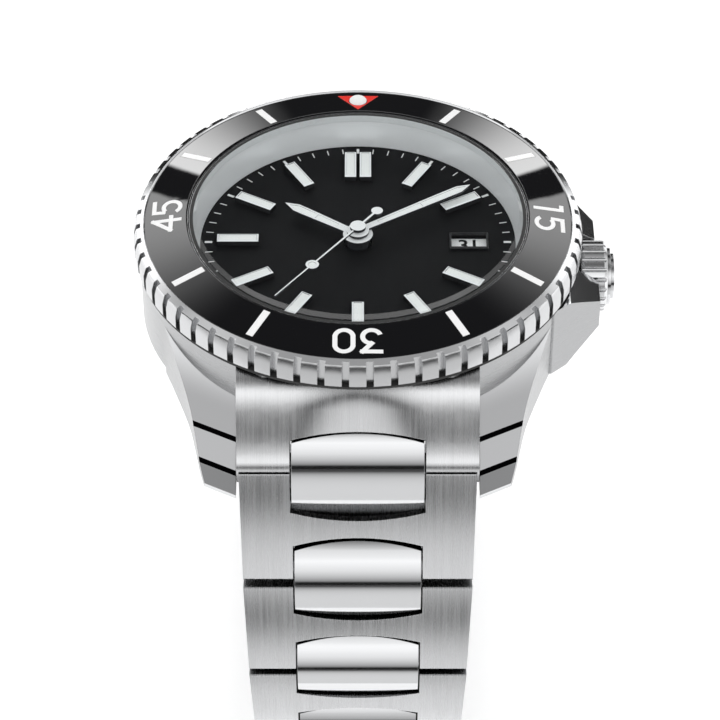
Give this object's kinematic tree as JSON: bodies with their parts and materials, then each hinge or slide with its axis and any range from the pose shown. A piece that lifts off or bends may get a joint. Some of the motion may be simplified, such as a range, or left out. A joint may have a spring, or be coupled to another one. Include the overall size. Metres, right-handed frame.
{
  "type": "wristwatch",
  "caption": "Steel diver's wristwatch with a turning black bezel, baton dial with date, screw-down crown and a closed link bracelet with a folding clasp.",
  "frame": {"origin": "centre of the case back's outer face", "axes": "+Z out through the dial and crystal, +Y towards 12 o'clock, +X towards 3 o'clock and the crown"},
  "size_m": [0.0452, 0.0588, 0.0545],
  "materials": {
    "brushed_case": "brushed flanks and polished facets",
    "brushed_link": "brushed lengthwise",
    "polished_steel": "mirror polished",
    "bezel_steel": "polished rim and brushed teeth",
    "ceramic": "glossy black ceramic",
    "white_fill": "white inlay",
    "lume": "luminous white",
    "sapphire": "clear crystal with antireflection coat",
    "rubber": "matt black",
    "dial_black": "matt black with white minute track",
    "date_white": "white with black numerals",
    "movement_steel": "plated movement metal",
    "brass": "turned brass",
    "spring_steel": "spring steel"
  },
  "bodies": {
    "case": {"middle_case": "brushed_case", "case_back": "brushed_case", "case_back_gasket": "rubber", "crown_tube": "polished_steel", "bezel_click_spring": "spring_steel", "crystal": "sapphire", "crystal_gasket": "rubber", "chapter_ring": "brushed_case", "dial": "dial_black", "hour_markers": "polished_steel", "main_plate": "movement_steel", "train_bridge": "movement_steel", "movement_holder": "movement_steel", "end_link_12": "brushed_link", "end_link_6": "brushed_link", "lug_bars": "spring_steel"},
    "bezel": {"bezel_ring": "bezel_steel", "bezel_insert": "ceramic", "bezel_markers": "white_fill", "bezel_pip": "lume"},
    "hour_hand": {"hour_hand": "polished_steel"},
    "minute_hand": {"minute_hand": "polished_steel"},
    "seconds_hand": {"seconds_hand": "polished_steel"},
    "date_ring": {"date_ring": "date_white"},
    "balance_wheel": {"balance_wheel": "brass"},
    "rotor": {"rotor": "movement_steel"},
    "winding_pinion": {"winding_pinion": "spring_steel"},
    "crown": {"crown": "brushed_case", "winding_stem": "spring_steel"},
    "bracelet_12_1": {"link_12_1": "brushed_link", "centre_link_12_1": "polished_steel", "link_pins_12_1": "spring_steel"},
    "bracelet_12_2": {"link_12_2": "brushed_link", "centre_link_12_2": "polished_steel", "link_pins_12_2": "spring_steel"},
    "bracelet_12_3": {"link_12_3": "brushed_link", "centre_link_12_3": "polished_steel", "link_pins_12_3": "spring_steel"},
    "bracelet_12_4": {"link_12_4": "brushed_link", "centre_link_12_4": "polished_steel", "link_pins_12_4": "spring_steel"},
    "bracelet_6_1": {"link_6_1": "brushed_link", "centre_link_6_1": "polished_steel", "link_pins_6_1": "spring_steel"},
    "bracelet_6_2": {"link_6_2": "brushed_link", "centre_link_6_2": "polished_steel", "link_pins_6_2": "spring_steel"},
    "bracelet_6_3": {"link_6_3": "brushed_link", "centre_link_6_3": "polished_steel", "link_pins_6_3": "spring_steel"},
    "bracelet_6_4": {"link_6_4": "brushed_link", "centre_link_6_4": "polished_steel", "link_pins_6_4": "spring_steel"},
    "inner_blade": {"inner_blade": "brushed_link"},
    "middle_blade": {"middle_blade": "brushed_link", "blade_pins": "spring_steel"},
    "clasp_cover": {"clasp_cover": "brushed_link", "cover_bar": "spring_steel"},
    "push_button_left": {"push_button_left": "polished_steel"},
    "push_button_right": {"push_button_right": "polished_steel"}
  },
  "joints": [
    {"name": "bezel_turn", "type": "hinge", "parent": "case", "child": "bezel", "pos_m": [0, 0, 0.01], "axis": [0, 0, 1], "continuous": true},
    {"name": "seconds_hand_turn", "type": "hinge", "parent": "case", "child": "seconds_hand", "pos_m": [0, 0, 0.01], "axis": [0, 0, -1], "continuous": true},
    {"name": "minute_hand_turn", "type": "hinge", "parent": "case", "child": "minute_hand", "pos_m": [0, 0, 0.01], "axis": [0, 0, -1], "continuous": true},
    {"name": "hour_hand_turn", "type": "hinge", "parent": "case", "child": "hour_hand", "pos_m": [0, 0, 0.01], "axis": [0, 0, -1], "continuous": true},
    {"name": "date_ring_turn", "type": "hinge", "parent": "case", "child": "date_ring", "pos_m": [0, 0, 0.0076], "axis": [0, 0, -1], "continuous": true},
    {"name": "balance_swing", "type": "hinge", "parent": "case", "child": "balance_wheel", "pos_m": [-0.0065, -0.0065, 0.0033], "axis": [0, 0, 1], "range_deg": [-150, 150]},
    {"name": "rotor_turn", "type": "hinge", "parent": "case", "child": "rotor", "pos_m": [0, 0, 0.0017], "axis": [0, 0, 1], "continuous": true},
    {"name": "crown_turn", "type": "hinge", "parent": "case", "child": "winding_pinion", "pos_m": [0.0096, 0, 0.0045], "axis": [1, 0, 0], "continuous": true},
    {"name": "crown_pull", "type": "slide", "parent": "winding_pinion", "child": "crown", "axis": [1, 0, 0], "range_m": [0, 0.0016]},
    {"name": "bracelet_12_1_bend", "type": "hinge", "parent": "case", "child": "bracelet_12_1", "pos_m": [0, 0.02156, 0.00042], "axis": [1, 0, 0], "range_deg": [0, 35]},
    {"name": "bracelet_12_2_bend", "type": "hinge", "parent": "bracelet_12_1", "child": "bracelet_12_2", "pos_m": [0, 0.02548, -0.00739], "axis": [1, 0, 0], "range_deg": [0, 17.5]},
    {"name": "bracelet_12_3_bend", "type": "hinge", "parent": "bracelet_12_2", "child": "bracelet_12_3", "pos_m": [0, 0.02744, -0.01696], "axis": [1, 0, 0], "range_deg": [0, 17]},
    {"name": "bracelet_12_4_bend", "type": "hinge", "parent": "bracelet_12_3", "child": "bracelet_12_4", "pos_m": [0, 0.0265, -0.02669], "axis": [1, 0, 0], "range_deg": [0, 20]},
    {"name": "bracelet_6_1_bend", "type": "hinge", "parent": "case", "child": "bracelet_6_1", "pos_m": [0, -0.02156, 0.00042], "axis": [-1, 0, 0], "range_deg": [0, 35]},
    {"name": "bracelet_6_2_bend", "type": "hinge", "parent": "bracelet_6_1", "child": "bracelet_6_2", "pos_m": [0, -0.02548, -0.00739], "axis": [-1, 0, 0], "range_deg": [0, 17.5]},
    {"name": "bracelet_6_3_bend", "type": "hinge", "parent": "bracelet_6_2", "child": "bracelet_6_3", "pos_m": [0, -0.02744, -0.01696], "axis": [-1, 0, 0], "range_deg": [0, 17]},
    {"name": "bracelet_6_4_bend", "type": "hinge", "parent": "bracelet_6_3", "child": "bracelet_6_4", "pos_m": [0, -0.0265, -0.02669], "axis": [-1, 0, 0], "range_deg": [0, 20]},
    {"name": "clasp_swing", "type": "hinge", "parent": "bracelet_6_4", "child": "inner_blade", "pos_m": [0, -0.02239, -0.03555], "axis": [-1, 0, 0], "range_deg": [0, 30]},
    {"name": "clasp_unfold", "type": "hinge", "parent": "inner_blade", "child": "middle_blade", "pos_m": [0, 0.0124, -0.03824], "axis": [1, 0, 0], "range_deg": [0, 150]},
    {"name": "cover_fold", "type": "hinge", "parent": "middle_blade", "child": "clasp_cover", "pos_m": [0, -0.01569, -0.0382], "axis": [1, 0, 0], "range_deg": [-150, 0]},
    {"name": "push_button_right_press", "type": "slide", "parent": "clasp_cover", "child": "push_button_right", "axis": [-1, 0, 0], "range_m": [0, 0.0006], "stiffness_N_per_m": 800},
    {"name": "push_button_left_press", "type": "slide", "parent": "clasp_cover", "child": "push_button_left", "axis": [1, 0, 0], "range_m": [0, 0.0006], "stiffness_N_per_m": 800}
  ],
  "couplings": [
    {"joint": "minute_hand_turn", "follows": "seconds_hand_turn", "ratio": 0.016667},
    {"joint": "hour_hand_turn", "follows": "seconds_hand_turn", "ratio": 0.0013889},
    {"joint": "cover_fold", "follows": "clasp_unfold", "ratio": -1}
  ]
}
